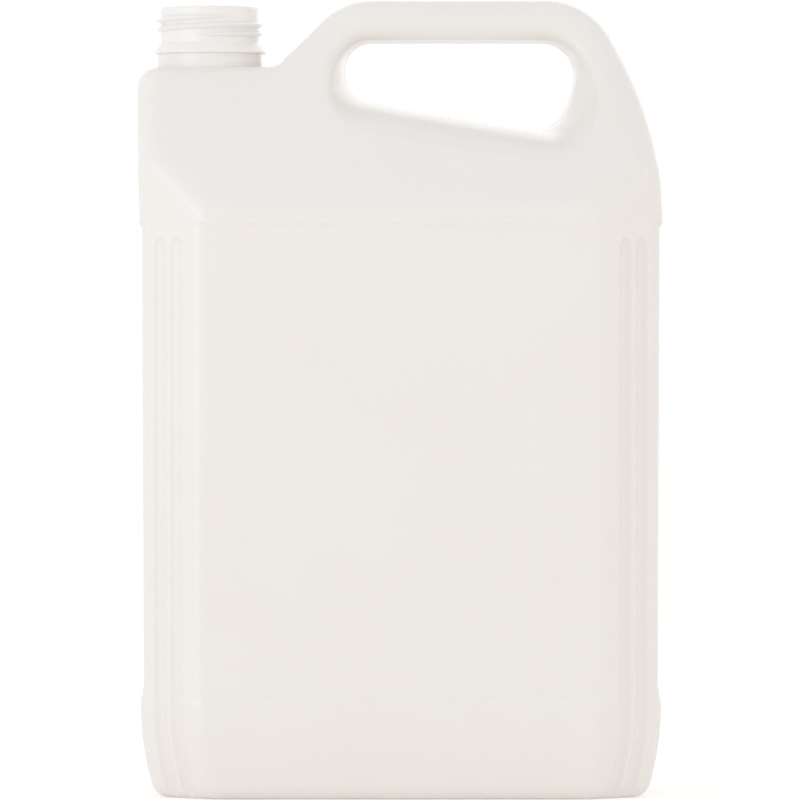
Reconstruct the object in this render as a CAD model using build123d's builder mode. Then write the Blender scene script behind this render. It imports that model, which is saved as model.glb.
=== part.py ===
"""Five-litre plastic jerrycan: one blow-moulded shell with an open neck and a through handle.

Millimetres, +Z up.  The can stands on z = 0 with its width along X and its depth along Y.  The
neck stands towards -X and the front face looks towards -Y.  The outer form and the space inside
it come from the same functions, the second with every surface set in by the wall thickness.
"""

import math
import os

from build123d import *

os.makedirs("parts", exist_ok=True)

# Whole can: the width and depth are those of the shoulder's lower edge
width = 189.4
depth = 126.0
height = 290.0
wall = 1.2

# Upright corners: a chamfer that is softened on both of its edges
chamfer_x = 22.0
chamfer_y = 19.5
corner_round = 8.0

# Foot: set in at the sides, curving inwards downwards and rounded into the base
foot_height = 34.5
foot_side_set = 0.6
foot_curve = 112.0
foot_round = 7.0
base_margin = 23.0
base_push_up = 2.5
base_corner = 14.0
base_slope = 35.0

# Panels between the foot and the shoulder, set in behind a step at either end
panel_set = 0.6
side_set_low = 1.8
side_set_high = 1.1
lower_step = 2.0
side_step = 7.0
upper_step = 1.6

# Two flutes in every corner
flute_width = 6.0
flute_depth = 1.2
flute_pitch = 8.0
flute_gap = 6.7

# Shoulder: front and back lean in towards the handle, and the neck side leans out a little
shoulder_drop = 82.2
lean_rise = 5.2
lean_angle = 38.0
side_lean = 1.7
handle_half_depth = 13.0
lean_bend = 25.0
shoulder_round = 10.0

# Outline of the top, seen from the front
deck_drop = 24.7
deck_round = 8.5
neck_margin = 24.7
ramp_gap = 24.5
ramp_foot_round = 6.5
ramp_angle = 45.5
ramp_top_round = 25.7
crown_round = 26.4
flank_curve = 137.0

# Handle opening on the middle plane, and how it opens like a trumpet towards the faces
handle_thickness = 15.4
grip_post = 24.7
grip_flank = 31.3
grip_height = 20.4
grip_heel_drop = 12.8
grip_heel_run = 11.5
grip_heel_angle = 39.0
grip_left_flat = 0.2
grip_right_round = 12.0
grip_hip_round = 23.0
grip_heel_round = 4.4
grip_left_bow = 60.0
grip_right_bow = 42.0
grip_top_flare = 3.0
grip_floor_open = 9.0
grip_heel_open = 5.4
grip_open_reach = 38.0
grip_reach = 56.0
grip_edge_round = 4.5

# Neck, for a screw cap
neck_root_radius = 19.0
neck_radius = 17.9
bore_radius = 15.6
bead_radius = 20.4
bead_rise = 5.3
bead_edge = 0.6
bead_height = 3.8
rim_drop = 2.5
rim_round = 0.8

# Heights and places that follow from these
shoulder_z = height - shoulder_drop
lean_start = shoulder_z + lean_rise
panel_start = foot_height + lower_step
side_start = foot_height + side_step
panel_end = shoulder_z - upper_step
flute_top = panel_end - flute_gap
neck_deck_z = height - deck_drop
neck_x = neck_margin - width / 2
ramp_foot_x = neck_x + ramp_gap
grip_left = ramp_foot_x + grip_post
grip_right = width / 2 - grip_flank
grip_heel_x = grip_right - grip_heel_run
grip_top = height - handle_thickness
grip_floor_left = grip_top - grip_height
grip_left_round = (grip_height - grip_left_flat) / 2
bead_z = neck_deck_z + bead_rise
rim_z = height - rim_drop


def slope_of(angle):
    """Rise over run of an angle in degrees."""
    return math.tan(math.radians(angle))


def turning_edges(part):
    """Edges where two faces meet at an angle, leaving out those where they run smoothly on."""
    sides = {}
    for face in part.faces():
        for edge in face.edges():
            sides.setdefault(edge, []).append(face)
    found = ShapeList()
    for edge, faces in sides.items():
        normals = [face.normal_at(edge @ 0.5) for face in faces]
        if len(faces) == 2 and normals[0].get_angle(normals[1]) > 4:
            found.append(edge)
    return found


def plan_points(side_set, face_set, taper, inset):
    """Eight corners of the plan: sides and faces set in, all of it by taper, offset by inset."""
    slant = math.hypot(chamfer_x, chamfer_y)
    cut_x = chamfer_x - side_set - face_set * chamfer_x / chamfer_y
    cut_y = chamfer_y - face_set - side_set * chamfer_y / chamfer_x
    cut_x -= inset * (1 - (slant - chamfer_x) / chamfer_y)
    cut_y -= inset * (1 - (slant - chamfer_y) / chamfer_x)
    half_width = width / 2 - side_set - taper - inset
    half_depth = depth / 2 - face_set - taper - inset
    low, high = (half_width, half_depth - cut_y), (half_width - cut_x, half_depth)
    points = []
    for sign_x, sign_y in ((1, 1), (-1, 1), (-1, -1), (1, -1)):
        corner = [(sign_x * x, sign_y * y) for x, y in (low, high)]
        points += corner if sign_x == sign_y else corner[::-1]
    return points


def plan_sketch(z, side_set, face_set, taper, inset, round_radius):
    """The plan of the can at height z, with its corners softened where a radius is given."""
    with BuildSketch(Plane.XY.offset(z)) as plan:
        with BuildLine():
            Polyline(*plan_points(side_set, face_set, taper, inset), close=True)
        make_face()
        if round_radius:
            fillet(plan.vertices(), radius=round_radius)
    return plan.sketch


def foot_taper(z):
    """How far the foot has curved in at height z."""
    return foot_curve - math.sqrt(foot_curve**2 - (foot_height - z) ** 2)


def lower_body(inset):
    """The can up to the shoulder, with the curved foot, the steps and the panels."""
    softened = corner_round - inset
    foot_heights = [inset + (foot_height - inset) * share / 4 for share in range(5)]
    foot = [plan_sketch(z, foot_side_set, 0, foot_taper(z), inset, softened) for z in foot_heights]
    step_set = foot_side_set + (side_set_low - foot_side_set) * lower_step / side_step
    panel_foot = plan_sketch(panel_start, step_set, panel_set, 0, inset, softened)
    side_foot = plan_sketch(side_start, side_set_low, panel_set, 0, inset, softened)
    panel_head = plan_sketch(panel_end, side_set_high, panel_set, 0, inset, softened)
    shoulder_foot = plan_sketch(shoulder_z, 0, 0, 0, inset, softened)
    with BuildPart() as lower:
        loft(foot)
        fillet(lower.faces().sort_by(Axis.Z)[0].edges(), radius=foot_round - inset)
        levels = (foot[-1], panel_foot, side_foot, panel_head, shoulder_foot)
        for low, high in zip(levels, levels[1:]):
            loft([low, high], ruled=True)
    return lower.part


def front_outline(inset):
    """The upper can seen from the front: neck deck, ramp, handle and the curved right flank."""
    flank_x = width / 2 - flank_curve
    crown_z = height - crown_round
    crown_x = flank_x + math.sqrt((flank_curve - crown_round) ** 2 - (crown_z - shoulder_z) ** 2)
    turn = math.atan2(crown_z - shoulder_z, crown_x - flank_x)
    crown_end = (flank_x + flank_curve * math.cos(turn), shoulder_z + flank_curve * math.sin(turn))
    flank_end = (width / 2, shoulder_z)
    floor_ends = ((width / 2, 0), (-width / 2, 0))
    lean_foot = (-width / 2, lean_start)
    deck_end = (-width / 2 - (neck_deck_z - lean_start) * slope_of(side_lean), neck_deck_z)
    ramp_foot = (ramp_foot_x, neck_deck_z)
    ramp_top = (ramp_foot_x + (height - neck_deck_z) / slope_of(ramp_angle), height)
    crown_start = (crown_x, height)
    rounds = ((deck_end, deck_round), (ramp_foot, ramp_foot_round), (ramp_top, ramp_top_round))
    with BuildSketch(Plane.XZ.offset(-depth)) as outline:
        with BuildLine():
            Polyline(flank_end, *floor_ends, lean_foot, deck_end, ramp_foot, ramp_top, crown_start)
            TangentArc(crown_start, crown_end, tangent=(1, 0))
            TangentArc(crown_end, flank_end, tangent=(math.sin(turn), -math.cos(turn)))
        make_face()
        for corner, radius in rounds:
            fillet(outline.vertices().sort_by_distance(corner)[0], radius=radius)
        if inset:
            offset(amount=-inset, mode=Mode.REPLACE)
    return outline.sketch


def side_outline(inset):
    """The upper can seen from the side: upright, leaning in, and upright again at the handle."""
    half_depth = depth / 2
    bend_z = lean_start + (half_depth - handle_half_depth) / slope_of(lean_angle)
    half = [(half_depth, 0), (half_depth, lean_start)]
    half += [(handle_half_depth, bend_z), (handle_half_depth, 2 * height)]
    with BuildSketch(Plane.YZ.offset(-width)) as outline:
        with BuildLine():
            Polyline(*half, *[(-y, z) for y, z in half[::-1]], close=True)
        make_face()
        fillet(outline.vertices().group_by(Axis.Y)[2], radius=lean_bend)
        if inset:
            offset(amount=-inset, kind=Kind.INTERSECTION, mode=Mode.REPLACE)
    return outline.sketch


def grip_outline(reach, inset):
    """The handle opening at a reach from the middle plane, made wider all round by inset.

    Its sides open with the square of the reach, its floor with the cube.
    """
    left = grip_left - reach**2 / 2 / grip_left_bow
    right_open = reach**2 / 2 / grip_right_bow
    right = grip_right + right_open
    top = grip_top + reach * slope_of(grip_top_flare)
    share = (reach / grip_open_reach) ** 3
    floor_open = grip_floor_open * share
    floor_z = grip_floor_left - floor_open
    heel_x = grip_heel_x + right_open / 2
    heel_z = grip_floor_left - grip_heel_drop - grip_heel_open * share
    hip_z = heel_z + (right - heel_x) * slope_of(grip_heel_angle)
    rounds = (
        ((left, top), grip_left_round),
        ((left, floor_z), grip_left_round + floor_open),
        ((heel_x, heel_z), grip_heel_round + floor_open),
        ((right, hip_z), grip_hip_round),
        ((right, top), grip_right_round),
    )
    with BuildSketch(Plane.XZ.offset(reach)) as outline:
        with BuildLine():
            Polyline(*[corner for corner, radius in rounds], close=True)
        make_face()
        for corner, radius in rounds:
            fillet(outline.vertices().sort_by_distance(corner)[0], radius=radius)
        if inset:
            offset(amount=inset, mode=Mode.REPLACE)
    return outline.sketch


def grip_space(inset):
    """The space through the handle, opening from the middle plane towards front and back."""
    reaches = [grip_reach * share / 5 for share in range(6)]
    with BuildPart() as space:
        loft([grip_outline(reach, inset) for reach in reaches])
        mirror(about=Plane.XZ)
    return space.part


def shoulder(inset):
    """The can above the panels, with the handle opened and every edge softened."""
    spread = (height - shoulder_z) * slope_of(side_lean)
    with BuildPart() as upper:
        plan_foot = plan_sketch(shoulder_z, 0, 0, 0, inset, 0)
        plan_head = plan_sketch(height, 0, 0, -spread, inset, 0)
        loft([plan_foot, plan_head], ruled=True)
        extrude(front_outline(inset), amount=2 * depth, mode=Mode.INTERSECT)
        extrude(side_outline(inset), amount=2 * width, mode=Mode.INTERSECT)
        floor_edges = upper.faces().sort_by(Axis.Z)[0].edges()
        fillet(turning_edges(upper.part) - floor_edges, radius=shoulder_round - inset)
        add(grip_space(inset), mode=Mode.SUBTRACT)
        grip_edges = [edge for edge in turning_edges(upper.part) if edge.center().Z > lean_start]
        grip_edges = [edge for edge in grip_edges if abs(edge.center().Y) > handle_half_depth / 2]
        fillet(grip_edges, radius=grip_edge_round - inset)
    return upper.part


def flutes(inset):
    """Grooves down the corners that follow the curve of the foot, as rods wider by inset."""
    slant = math.hypot(chamfer_x, chamfer_y)
    normal = Vector(chamfer_y, chamfer_x) / slant
    along = Vector(-chamfer_x, chamfer_y) / slant
    middle = Vector((width - chamfer_x) / 2, (depth - chamfer_y) / 2)
    rod_radius = (flute_width**2 / 4 + flute_depth**2) / (2 * flute_depth)
    stand_off = rod_radius - flute_depth
    bend = foot_curve / (normal.X + normal.Y) + stand_off
    turn = math.degrees(math.asin(foot_height / bend)) + 4
    with BuildPart() as rods:
        for shift in (-flute_pitch / 2, flute_pitch / 2):
            origin = middle + along * shift + normal * stand_off
            upright = Plane(origin=origin, x_dir=normal, z_dir=(normal.Y, -normal.X, 0))
            with BuildLine(upright) as path:
                Line((0, flute_top), (0, foot_height))
                CenterArc((-bend, foot_height), bend, 0, -turn)
            with BuildSketch(Plane.XY.offset(flute_top)):
                with Locations((origin.X, origin.Y)):
                    Circle(rod_radius + inset)
            sweep()
            with Locations((origin.X, origin.Y, flute_top)):
                Sphere(rod_radius + inset)
        mirror(about=Plane.XZ)
        mirror(about=Plane.YZ)
    return rods.part


def push_up(inset):
    """The shallow hollow under the base, made wider and higher by inset."""
    rise = base_push_up + inset
    growth = inset / math.cos(math.radians(base_slope)) + inset * slope_of(base_slope)
    with BuildPart() as hollow:
        with BuildSketch():
            RectangleRounded(
                width - 2 * base_margin + 2 * growth,
                depth - 2 * base_margin + 2 * growth,
                base_corner + growth,
            )
        extrude(amount=rise, taper=base_slope)
    return hollow.part


def can_form(inset):
    """The whole can without its neck, every surface set in by inset."""
    with BuildPart() as form:
        add(lower_body(inset))
        add(shoulder(inset))
        add(flutes(inset), mode=Mode.SUBTRACT)
        add(push_up(inset), mode=Mode.SUBTRACT)
    return form.part


def neck_post():
    """The neck as a solid post that stands on the deck, with the bead under the cap."""
    with BuildPart() as post:
        with BuildSketch(Plane.XZ) as profile:
            with BuildLine():
                Polyline(
                    (0, neck_deck_z - deck_round),
                    (neck_root_radius, neck_deck_z - deck_round),
                    (neck_root_radius, bead_z),
                    (bead_radius, bead_z),
                    (bead_radius, bead_z + bead_edge),
                    (neck_radius, bead_z + bead_height),
                    (neck_radius, rim_z),
                    (0, rim_z),
                    close=True,
                )
            make_face()
            fillet(profile.vertices().sort_by_distance((neck_radius, rim_z))[0], radius=rim_round)
        revolve(axis=Axis.Z)
    return post.part


with BuildPart() as jerrycan:
    add(can_form(0))
    with Locations((neck_x, 0, 0)):
        add(neck_post())
    add(can_form(wall), mode=Mode.SUBTRACT)
    with Locations((neck_x, 0, (neck_deck_z - deck_round + rim_z) / 2)):
        Cylinder(bore_radius, rim_z - neck_deck_z + deck_round, mode=Mode.SUBTRACT)
jerrycan.part.label = "jerrycan"
export_step(jerrycan.part, "parts/jerrycan.step")
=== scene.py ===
# %% [markdown]
# # A plastic jerrycan
#
# This lesson dresses a five-litre jerrycan: one shell of milky polyethylene, blown in a
# two-part mould, with an open neck on the left and a handle moulded into the shoulder.
# The shape comes ready from the construction model, so the work here is the finish of the
# plastic, the thread on the neck, the fine lines that the mould leaves, and the light.

# %% Load the frame
import math

import bmesh
import bpy
import numpy as np
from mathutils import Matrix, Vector


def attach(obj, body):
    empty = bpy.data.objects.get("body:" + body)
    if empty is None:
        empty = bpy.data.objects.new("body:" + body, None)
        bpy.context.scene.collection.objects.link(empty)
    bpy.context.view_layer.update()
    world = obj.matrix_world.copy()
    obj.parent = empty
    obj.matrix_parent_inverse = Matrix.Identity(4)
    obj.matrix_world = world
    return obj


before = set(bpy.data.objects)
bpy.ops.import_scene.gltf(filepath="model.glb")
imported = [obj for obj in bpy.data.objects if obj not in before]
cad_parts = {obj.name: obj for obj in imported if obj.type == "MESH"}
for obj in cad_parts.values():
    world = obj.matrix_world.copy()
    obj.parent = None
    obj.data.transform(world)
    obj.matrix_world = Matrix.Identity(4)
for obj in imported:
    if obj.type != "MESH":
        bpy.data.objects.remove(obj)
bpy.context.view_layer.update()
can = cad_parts["jerrycan"]

# %% [markdown]
# ## Surfaces
#
# Drawings are in millimetres and Blender works in metres.  Each new piece is a grid of points
# from numpy: its rows run along the piece and its columns go round it.  One function says which
# points of a grid make up each face, and another turns the grid into a mesh.  Modelling by hand
# would give the same forms, but a formula keeps their real sizes in sight.

# %% Helpers for surfaces
MM = 0.001
SAME_POINT = 1e-7


def tube_quads(rows, columns, ring=False):
    """Quads of a grid whose columns close on themselves, and its rows too if it is a ring.

    Seen from the side that a face looks to, its corners go anticlockwise: first along, then round.
    """
    row, column = np.meshgrid(np.arange(rows if ring else rows - 1), np.arange(columns), indexing="ij")
    next_row = (row + 1) % rows
    next_column = (column + 1) % columns
    corners = ((row, column), (next_row, column), (next_row, next_column), (row, next_column))
    return np.stack([r * columns + c for r, c in corners], axis=-1).reshape(-1, 4)


def mesh_object(name, points, faces, smooth=True):
    """A mesh object at the origin from points in millimetres and quads; points that meet are joined."""
    mesh = bpy.data.meshes.new(name)
    mesh.from_pydata((points.reshape(-1, 3) * MM).tolist(), [], faces.tolist())
    mesh.polygons.foreach_set("use_smooth", np.full(len(mesh.polygons), smooth))
    shell = bmesh.new()
    shell.from_mesh(mesh)
    bmesh.ops.remove_doubles(shell, verts=shell.verts, dist=SAME_POINT)
    shell.to_mesh(mesh)
    shell.free()
    made = bpy.data.objects.new(name, mesh)
    bpy.context.scene.collection.objects.link(made)
    return made


# %% [markdown]
# ## Colours and nodes
#
# Colours are picked on screen as sRGB hex values, and shaders want linear light, so one
# function turns one into the other.  A second small function adds a node, sets it and links it.
# The last one marks a region of a piece: an egg in Object coordinates with a soft edge, which
# stays in place on the piece from every side.

# %% Helpers for materials
EGG_INSIDE = 0.8
EGG_OUTSIDE = 1.2


def linear(code):
    """Linear RGBA of an sRGB hex colour."""
    channels = np.array([int(code[i : i + 2], 16) for i in (1, 3, 5)]) / 255
    light = np.where(channels <= 0.04045, channels / 12.92, ((channels + 0.055) / 1.055) ** 2.4)
    return (*light.tolist(), 1.0)


def grow(tree, kind, settings=(), values=(), links=()):
    """Adds a node of a kind to a tree, with its settings, socket values and incoming links."""
    made = tree.nodes.new(kind)
    for name, value in dict(settings).items():
        setattr(made, name, value)
    for name, value in dict(values).items():
        made.inputs[name].default_value = value
    for name, socket in dict(links).items():
        tree.links.new(socket, made.inputs[name])
    return made


def blank_material(name):
    """A material with an empty node tree and its output node."""
    material = bpy.data.materials.new(name)
    material.use_nodes = True
    material.node_tree.nodes.clear()
    return material, material.node_tree, grow(material.node_tree, "ShaderNodeOutputMaterial")


def larger(tree, first, second):
    """The larger of two sockets."""
    links = {0: first, 1: second}
    return grow(tree, "ShaderNodeMath", settings={"operation": "MAXIMUM"}, links=links).outputs[0]


def near(tree, place, middle, reach, share):
    """A share inside an egg with this middle and half lengths, fading to 0 a little outside it."""
    from_middle = grow(
        tree,
        "ShaderNodeVectorMath",
        settings={"operation": "MULTIPLY_ADD"},
        values={1: [1 / (half * MM) for half in reach], 2: [-m / half for m, half in zip(middle, reach)]},
        links={0: place},
    )
    distance = grow(
        tree,
        "ShaderNodeVectorMath",
        settings={"operation": "LENGTH"},
        links={0: from_middle.outputs["Vector"]},
    )
    return grow(
        tree,
        "ShaderNodeMapRange",
        settings={"interpolation_type": "SMOOTHSTEP"},
        values={"From Min": EGG_OUTSIDE, "From Max": EGG_INSIDE, "To Max": share},
        links={"Value": distance.outputs["Value"]},
    ).outputs[0]


# %% [markdown]
# ## The plastic
#
# Natural high-density polyethylene has no pigment.  It is waxy and milky: light goes a little
# way in, is scattered by the tiny crystals, and comes out again, which softens every shadow.
# Blowing leaves a wall that is a little thicker here and thinner there, seen as faint clouds
# some centimetres wide.  The neck, and the weld round the handle where the mould pinched both
# walls together, are painted whiter and less warm: a painted glow that stands in for light coming
# through the milky plastic.  The sand-blasted mould leaves a satin skin all over.
#
# A glassy shader could let light right through the wall, but is slow and noisy.  A pale surface
# with a little scattering looks much the same from outside.  The scattering stays small, because
# light that leaks into the closed can doesn't come back and leaves the plastic grey.

# %% Milky polyethylene
PLASTIC_TONES = ("#EDE7E2", "#F0EBE7")
# Painted glow: a whiter tone on the neck and along the handle's weld, standing in for light through the
# milky plastic
PAINTED_GLOW_TONE = "#FAF9F8"
NECK_MIDDLE = (-70.0, 0.0, 279.0)
NECK_REACH = (25.0, 25.0, 25.0)
NECK_GLOW_SHARE = 0.3
WELD_MIDDLE = (21.0, 0.0, 267.0)
WELD_REACH = (54.0, 18.0, 13.0)
WELD_GLOW_SHARE = 1.0
CLOUD_SIZE = 55.0
GRAIN_SIZE = 1.1  # coarser than the real skin, so that it shows at this distance
GRAIN_DEPTH = 0.12
SCATTER_DEPTH = 1.5


def milky_polyethylene():
    """Natural HDPE: pale warm colour with faint clouds, painted glow at neck and weld, light scattered
    inside, satin skin.
    """
    material, tree, out = blank_material("natural_polyethylene")
    place = grow(tree, "ShaderNodeTexCoord").outputs["Object"]
    # Clouds: the eye sees a wall of uneven thickness
    clouds = grow(
        tree,
        "ShaderNodeTexNoise",
        values={"Scale": 1 / (CLOUD_SIZE * MM), "Detail": 2.0, "Roughness": 0.45},
        links={"Vector": place},
    )
    tone = grow(
        tree,
        "ShaderNodeMix",
        settings={"data_type": "RGBA"},
        values={6: linear(PLASTIC_TONES[0]), 7: linear(PLASTIC_TONES[1])},
        links={0: clouds.outputs["Fac"]},
    )
    # Painted glow: the neck and the weld round the handle whiter and less warm, standing in for light
    # through the plastic
    neck = near(tree, place, NECK_MIDDLE, NECK_REACH, NECK_GLOW_SHARE)
    weld = near(tree, place, WELD_MIDDLE, WELD_REACH, WELD_GLOW_SHARE)
    tone = grow(
        tree,
        "ShaderNodeMix",
        settings={"data_type": "RGBA"},
        values={7: linear(PAINTED_GLOW_TONE)},
        links={0: larger(tree, neck, weld), 6: tone.outputs[2]},
    )
    # Grain: breaks up the highlights, as a blasted mould does
    grain = grow(
        tree,
        "ShaderNodeTexNoise",
        values={"Scale": 1 / (GRAIN_SIZE * MM), "Detail": 3.0, "Roughness": 0.6},
        links={"Vector": place},
    )
    skin_grain = grow(
        tree,
        "ShaderNodeBump",
        values={"Strength": 0.12, "Distance": GRAIN_DEPTH * MM},
        links={"Height": grain.outputs["Fac"]},
    )
    # Roughness gives broad soft highlights, scattering softens edges and shadows
    body = grow(
        tree,
        "ShaderNodeBsdfPrincipled",
        values={
            "Roughness": 0.27,
            "IOR": 1.54,
            "Subsurface Weight": 0.12,
            "Subsurface Radius": (1.0, 0.9, 0.8),
            "Subsurface Scale": SCATTER_DEPTH * MM,
        },
        links={"Base Color": tone.outputs[2], "Normal": skin_grain.outputs["Normal"]},
    )
    tree.links.new(body.outputs["BSDF"], out.inputs["Surface"])
    return material


plastic = milky_polyethylene()
for slot in can.material_slots:
    slot.material = plastic
print("plastic on", len(can.material_slots), "slot")

# %% [markdown]
# ## The thread
#
# The cap screws onto a single thread that winds about twice round the neck, rising to the
# right.  It is a low ridge with sloping sides whose ends run out into the wall.  A Screw modifier
# could wind a profile too, but its ends would be cut off square.  Here the surface is a profile
# like a roof with a rounded ridge, carried along a helix, and its height swells from nothing at
# both ends.

# %% Thread on the neck
NECK_X = -70.0
NECK_RADIUS = 17.9
THREAD_PITCH = 3.2
THREAD_HEIGHT = 1.45
THREAD_FOOT = 2.7
THREAD_CREST = 0.16
THREAD_START = math.radians(-40)
THREAD_END = math.radians(770)
THREAD_START_Z = 276.76
THREAD_RUN_OUT = math.radians(95)
THREAD_SINK = 0.25


def smooth_step(share):
    """Rises from 0 to 1 with level ends, 3 s^2 - 2 s^3, for a share kept between 0 and 1."""
    share = np.clip(share, 0, 1)
    return share * share * (3 - 2 * share)


def thread_surface(rows=520, columns=24):
    """A rounded roof profile carried along a helix.

    At angle u past its start, the helix has risen by the pitch times u over a full turn.  Across the
    foot, s goes from -1 to 1 and the roof is H (sqrt(1 + c^2) - sqrt(s^2 + c^2)) / (sqrt(1 + c^2) - c).
    The profile closes inside the wall, and H swells as a smooth step from a point at both ends.
    """
    turn = np.linspace(THREAD_START, THREAD_END, rows)[:, None]
    around = np.linspace(0, 2 * np.pi, columns, endpoint=False)[None, :]
    swell = smooth_step(np.minimum(turn - THREAD_START, THREAD_END - turn) / THREAD_RUN_OUT)
    across = np.sin(around)
    edge = math.hypot(1, THREAD_CREST)
    roof = (edge - np.sqrt(across**2 + THREAD_CREST**2)) / (edge - THREAD_CREST)
    rise = np.where(np.cos(around) > 0, (THREAD_HEIGHT + THREAD_SINK) * roof * swell, -THREAD_SINK * swell)
    radius = NECK_RADIUS - THREAD_SINK + rise
    height = THREAD_START_Z + THREAD_PITCH * (turn - THREAD_START) / (2 * np.pi)
    height = height + across * THREAD_FOOT / 2 * np.sqrt(swell)
    return np.stack([NECK_X + radius * np.sin(turn), -radius * np.cos(turn), height], axis=-1)


def dress(piece):
    """Gives a new piece the plastic and lets it ride on the can."""
    piece.data.materials.append(plastic)
    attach(piece, "root")


grid = thread_surface()
dress(mesh_object("neck_thread", grid, tube_quads(*grid.shape[:2])))
crest = np.hypot(grid[..., 0] - NECK_X, grid[..., 1]).max()
print("thread", grid.shape, "crest radius", round(float(crest), 2), "mm")

# %% [markdown]
# ## The path of the parting lines
#
# Where the two halves of the mould met, on the plane in the middle of the can's depth, a fine
# ridge runs round the whole outline and round the inside of the handle.  Its path could be drawn
# again from the can's sizes, but would then miss the skin by a little.  So it is read from the can
# itself: rays in the middle plane find its skin, and the hits are spread evenly along it.

# %% Path of the parting lines
CAN_MIDDLE = np.array([0.0, 150.0])
GRIP_MIDDLE = np.array([22.0, 262.0])
FAR = 400.0
NECK_RIGHT_TURN = 110.5
NECK_LEFT_TURN = 128.2 - 360
NECK_ROOT_REACH = 17.5
BEAD_REACH = 20.8
RAMP_FOOT_X = -44.0
OUTLINE_RAYS = 1400
DECK_RAYS = 12
GRIP_RAYS = 500
OUTLINE_STEP = 1.0
GRIP_STEP = 0.8


def skin(starts, ways):
    """Where rays in the middle plane first meet the can; points are (x, z) in millimetres."""
    starts = [Vector((x, 0, z)) * MM for x, z in starts]
    ways = [Vector((x, 0, z)) for x, z in ways]
    hits = [can.ray_cast(start, way)[1] for start, way in zip(starts, ways)]
    return np.array(hits)[:, [0, 2]] / MM


def spokes(first, last, count):
    """Unit vectors of (x, z) that turn from one angle in degrees to another."""
    turns = np.radians(np.linspace(first, last, count))
    return np.stack([np.cos(turns), np.sin(turns)], axis=-1)


def spread_evenly(path, step):
    """The path with its points moved along it until they stand evenly, about a step apart."""
    gone = np.concatenate([[0], np.cumsum(np.linalg.norm(np.diff(path, axis=0), axis=1))])
    places = np.linspace(0, gone[-1], round(gone[-1] / step))
    return np.stack([np.interp(places, gone, path[:, axis]) for axis in (0, 1)], axis=-1)


rays = spokes(NECK_RIGHT_TURN, NECK_LEFT_TURN, OUTLINE_RAYS)
outline = skin(CAN_MIDDLE + FAR * rays, -rays)
deck_x = np.linspace(NECK_X + BEAD_REACH, RAMP_FOOT_X, DECK_RAYS)
deck = skin(np.stack([deck_x, np.full(DECK_RAYS, FAR)], axis=-1), np.tile([0.0, -1.0], (DECK_RAYS, 1)))
right_root = np.array([[NECK_X + NECK_ROOT_REACH, deck[0, 1]]])
left_root = np.array([[NECK_X - NECK_ROOT_REACH, deck[0, 1]]])
outline = spread_evenly(np.concatenate([right_root, deck, outline, left_root]), OUTLINE_STEP)
rays = spokes(0, 360, GRIP_RAYS)
grip = spread_evenly(skin(np.tile(GRIP_MIDDLE, (GRIP_RAYS, 1)), rays), GRIP_STEP)[:-1]
print("outline", len(outline), "points, handle", len(grip), "points")

# %% [markdown]
# ## The parting lines
#
# The line itself is a flat bump, much wider than it is high, carried along the path.  A bevelled
# curve would do the same with a round section, which stands too proud.  Under the base, where the
# can stands on its rim, the ridge was trimmed away, so there it sinks into the wall.

# %% Parting lines
LINE_WIDTH = 0.7
LINE_HEIGHT = 0.12
LINE_SINK = 0.15
TRIM_LOW = 0.4
TRIM_HIGH = 2.0
LINE_TIP = 3


def line_surface(path, swell, tangent, columns=10):
    """A flat bump carried along a path in the middle plane.

    v runs round the bump: sin v is its place across the plane and cos v its rise along the path's
    normal, which is the tangent turned to the left.  The lower half closes inside the wall.
    """
    tangent = tangent / np.linalg.norm(tangent, axis=1, keepdims=True)
    around = np.linspace(0, 2 * np.pi, columns, endpoint=False)[None, :]
    trimmed = smooth_step((path[:, 1] - TRIM_LOW) / (TRIM_HIGH - TRIM_LOW))[:, None]
    top = (LINE_HEIGHT + LINE_SINK) * trimmed * np.cos(around)
    rise = swell * np.where(np.cos(around) > 0, top, LINE_SINK * np.cos(around)) - LINE_SINK
    x = path[:, :1] - tangent[:, 1:] * rise
    z = path[:, 1:] + tangent[:, :1] * rise
    y = LINE_WIDTH / 2 * swell * np.sin(around)
    return np.stack([x, y, z], axis=-1)


tip = np.minimum(np.arange(len(outline)), np.arange(len(outline))[::-1]) / LINE_TIP
grid = line_surface(outline, np.clip(tip, 0, 1)[:, None], np.gradient(outline, axis=0))
dress(mesh_object("outer_parting_line", grid, tube_quads(*grid.shape[:2])))
along = np.roll(grip, -1, axis=0) - np.roll(grip, 1, axis=0)
grid = line_surface(grip, np.ones((len(grip), 1)), along)
dress(mesh_object("handle_parting_line", grid, tube_quads(*grid.shape[:2], ring=True)))
print("parting lines", LINE_WIDTH, "mm wide,", LINE_HEIGHT, "mm high")

# %% [markdown]
# ## The floor
#
# The can stands on pale paper.  A floor that only shines would be an even white but lose the
# shadow, and a plain matte one would turn grey.  So the camera sees the paper partly as even
# white and partly with its own shading, and the can still throws its soft shadow.  To every other
# ray it is a bright table that sends light up into the can from below.

# %% Floor
FLOOR_SIZE = 30000.0
PAPER_TONE = "#F6F3EF"
SHADOW_SHARE = 0.6
PAPER_WHITE = 1.34
TABLE_GLOW = 0.22


def white_paper():
    """White paper: a matte sheet that partly shines by itself, as a lit table does."""
    material, tree, out = blank_material("white_paper")
    matte = grow(tree, "ShaderNodeBsdfDiffuse", values={"Color": linear(PAPER_TONE)})
    shine = grow(tree, "ShaderNodeEmission", values={"Color": (1, 1, 1, 1), "Strength": PAPER_WHITE})
    light_path = grow(tree, "ShaderNodeLightPath")
    share = grow(
        tree,
        "ShaderNodeMapRange",
        values={"To Min": TABLE_GLOW, "To Max": 1 - SHADOW_SHARE},
        links={"Value": light_path.outputs["Is Camera Ray"]},
    )
    sheet = grow(
        tree,
        "ShaderNodeMixShader",
        links={"Fac": share.outputs[0], 1: matte.outputs[0], 2: shine.outputs[0]},
    )
    tree.links.new(sheet.outputs[0], out.inputs["Surface"])
    return material


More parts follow.
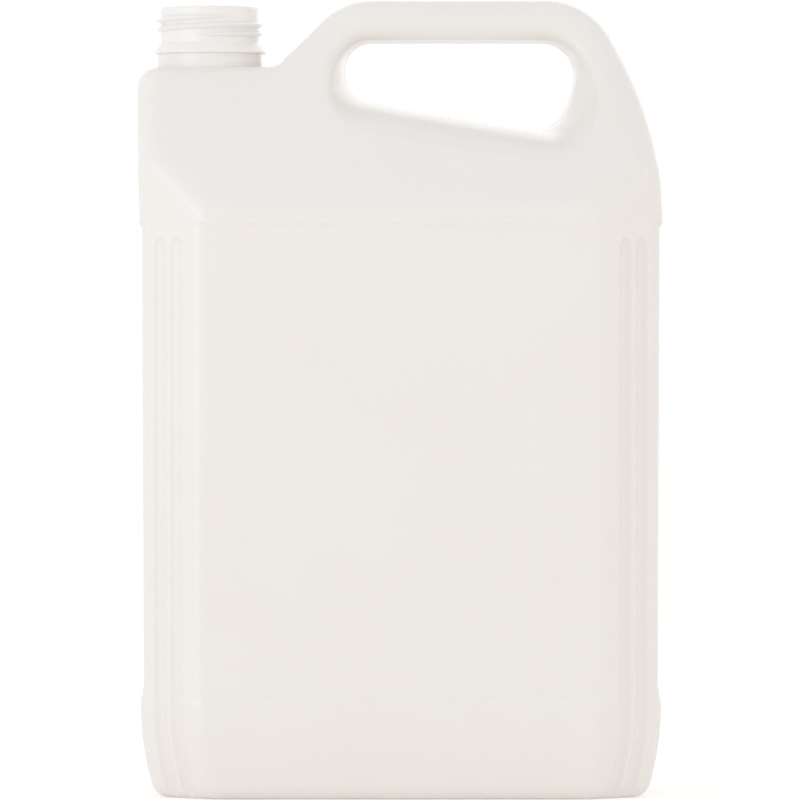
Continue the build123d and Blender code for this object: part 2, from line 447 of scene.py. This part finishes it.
corners = np.array([[-1, -1, 0], [1, -1, 0], [1, 1, 0], [-1, 1, 0]]) * FLOOR_SIZE / 2
floor = mesh_object("floor", corners, np.array([[0, 1, 2, 3]]), smooth=False)
floor.data.materials.append(white_paper())
print("floor", FLOOR_SIZE * MM, "m wide")

# %% [markdown]
# ## The light
#
# A white tent stands round the can, as photographers use for pale glossy things.  The world gives
# it, which is simpler than a real tent of cloth.  Its light is near white and a little cooler from
# above than from the walls.  A soft box in front on the left is the key, and others on the right
# and behind, further away, keep the far sides from sinking.

# %% World and lamps
TENT_WALL = "#EFEEEE"
TENT_ROOF = "#EFF2F4"
BACKGROUND = "#FFFFFF"
LAMP_WHITE = "#FFFFFF"
KEY_TONE = "#EFF8FF"
LAMP_AIM = (0, 0, 0.15)


def white_tent():
    """Light from all round, cooler from above; camera and reflections see plain white."""
    world = bpy.data.worlds.new("white_tent")
    world.use_nodes = True
    tree = world.node_tree
    tree.nodes.clear()
    way = grow(tree, "ShaderNodeTexCoord").outputs["Generated"]
    up = grow(tree, "ShaderNodeSeparateXYZ", links={0: way}).outputs["Z"]
    cloth = grow(
        tree,
        "ShaderNodeMix",
        settings={"data_type": "RGBA"},
        values={6: linear(TENT_WALL), 7: linear(TENT_ROOF)},
        links={0: up},
    )
    light_path = grow(tree, "ShaderNodeLightPath").outputs
    mirrored = larger(tree, light_path["Is Glossy Ray"], light_path["Is Transmission Ray"])
    seen = larger(tree, light_path["Is Camera Ray"], mirrored)
    colour = grow(
        tree,
        "ShaderNodeMix",
        settings={"data_type": "RGBA"},
        values={7: linear(BACKGROUND)},
        links={0: seen, 6: cloth.outputs[2]},
    )
    glow = grow(tree, "ShaderNodeBackground", links={"Color": colour.outputs[2]})
    grow(tree, "ShaderNodeOutputWorld", links={"Surface": glow.outputs[0]})
    return world


def soft_box(name, place, size, watts, colour=LAMP_WHITE):
    """A large square area lamp at a place in metres, turned to the middle of the can."""
    lamp = bpy.data.lights.new(name, "AREA")
    lamp.size = size
    lamp.energy = watts
    lamp.color = linear(colour)[:3]
    made = bpy.data.objects.new(name, lamp)
    bpy.context.scene.collection.objects.link(made)
    made.location = place
    made.rotation_euler = (Vector(LAMP_AIM) - Vector(place)).to_track_quat("-Z", "Y").to_euler()
    return made


bpy.context.scene.world = white_tent()
soft_box("key", (-1.0, -0.9, 0.5), 0.8, 2.7, KEY_TONE)
soft_box("fill", (1.9, -0.7, 0.4), 1.2, 2.2)
soft_box("back", (0.3, 1.8, 0.7), 1.6, 3.5)
print("tent with walls of", TENT_WALL, "and a roof of", TENT_ROOF)

# %% [markdown]
# ## The camera
#
# The photograph was taken from far away, level with the middle of the can and square to its
# front.  A camera without perspective would come close, but a long lens also shows the little
# perspective that there is.  Its length follows from the distance and from how many millimetres a
# pixel shows.

# %% Camera
PIXELS = 800
MM_PER_PIXEL = 0.3665
CAMERA_DISTANCE = 3.0
EYE_LEVEL = 0.1438
SENSOR = 36.0
CLIP_END = 100.0

camera_data = bpy.data.cameras.new("camera")
camera_data.sensor_width = SENSOR
camera_data.lens = SENSOR * CAMERA_DISTANCE / (PIXELS * MM_PER_PIXEL * MM)
camera_data.clip_end = CLIP_END
camera = bpy.data.objects.new("camera", camera_data)
bpy.context.scene.collection.objects.link(camera)
camera.location = (-MM_PER_PIXEL * MM, -CAMERA_DISTANCE, EYE_LEVEL)
camera.rotation_euler = (math.pi / 2, 0, 0)
bpy.context.scene.camera = camera
bpy.context.scene.view_settings.view_transform = "Standard"
print("lens", round(camera_data.lens, 1), "mm")
